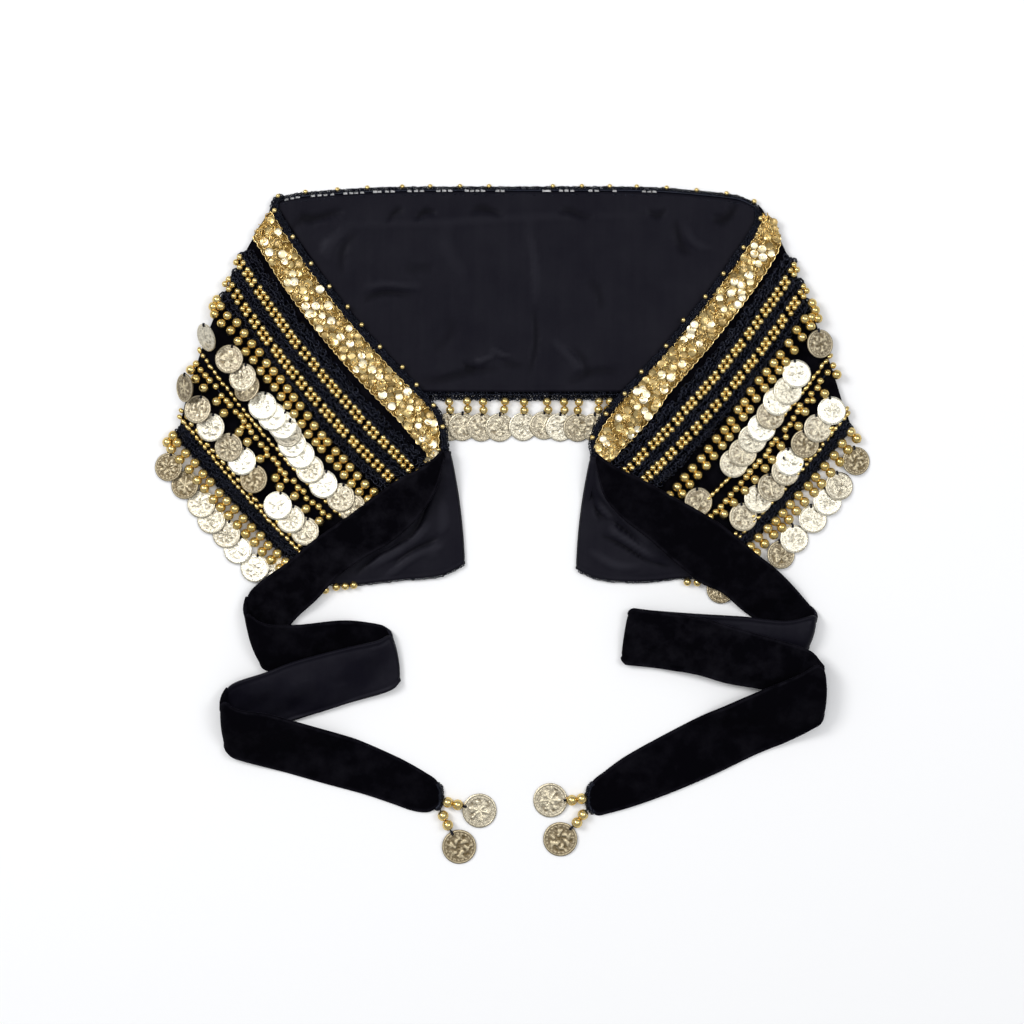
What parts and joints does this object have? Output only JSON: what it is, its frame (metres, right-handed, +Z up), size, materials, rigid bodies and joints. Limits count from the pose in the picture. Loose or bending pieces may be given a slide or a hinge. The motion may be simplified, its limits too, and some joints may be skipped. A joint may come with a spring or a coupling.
{
  "type": "belly dance hip scarf",
  "caption": "Black velvet belly dance hip scarf with a gold sequin band, bead rows and coin fringes, laid flat with its sides folded over and its two ties in zigzags.",
  "frame": {"origin": "centre of the laid scarf's box, on the surface it lies on", "axes": "+X along the belt to the viewer's right, +Y from the ties to the belt's top edge, +Z up from the surface"},
  "size_m": [0.5084, 0.4752, 0.0201],
  "materials": {
    "velvet_black": "crushed velvet, near black, short nap with soft lighter patches",
    "lining_charcoal": "smooth charcoal lining with a slight sheen",
    "crochet_navy": "navy-black viscose crochet, glossy loops",
    "sequin_gold": "gold sequins and seed beads, glittering",
    "bead_gold": "polished gold metallised beads",
    "coin_pale": "pale gold pressed coins with a low relief"
  },
  "bodies": {
    "root": {"bead_row_1_left": "bead_gold", "bead_row_1_right": "bead_gold", "bead_row_2_left": "bead_gold", "bead_row_2_right": "bead_gold", "belt_end_left": "lining_charcoal", "belt_end_right": "lining_charcoal", "centre_fringe": "coin_pale", "centre_hem_trim": "crochet_navy", "centre_lining": "lining_charcoal", "centre_top_trim": "crochet_navy", "centre_velvet": "velvet_black", "coin_row_1_left": "coin_pale", "coin_row_1_right": "coin_pale", "coin_row_2_left": "coin_pale", "coin_row_2_right": "coin_pale", "coin_row_3_left": "coin_pale", "coin_row_3_right": "coin_pale", "crochet_row_1_left": "crochet_navy", "crochet_row_1_right": "crochet_navy", "crochet_row_2_left": "crochet_navy", "crochet_row_2_right": "crochet_navy", "crochet_row_3_left": "crochet_navy", "crochet_row_3_right": "crochet_navy", "edge_trim_left": "crochet_navy", "edge_trim_right": "crochet_navy", "flap_left": "velvet_black", "flap_right": "velvet_black", "hem_trim_left": "crochet_navy", "hem_trim_right": "crochet_navy", "sequin_band_left": "sequin_gold", "sequin_band_right": "sequin_gold", "string_bead_left_1a": "bead_gold", "string_bead_left_1b": "bead_gold", "string_bead_left_2a": "bead_gold", "string_bead_left_2b": "bead_gold", "string_bead_right_1a": "bead_gold", "string_bead_right_1b": "bead_gold", "string_bead_right_2a": "bead_gold", "string_bead_right_2b": "bead_gold", "string_coin_left_1": "coin_pale", "string_coin_left_2": "coin_pale", "string_coin_right_1": "coin_pale", "string_coin_right_2": "coin_pale", "tie_left_1": "velvet_black", "tie_left_2": "velvet_black", "tie_left_3": "lining_charcoal", "tie_left_4": "velvet_black", "tie_right_1": "velvet_black", "tie_right_2": "lining_charcoal", "tie_right_3": "velvet_black", "tie_right_4": "velvet_black", "tie_tip_left": "crochet_navy", "tie_tip_right": "crochet_navy"}
  },
  "joints": []
}
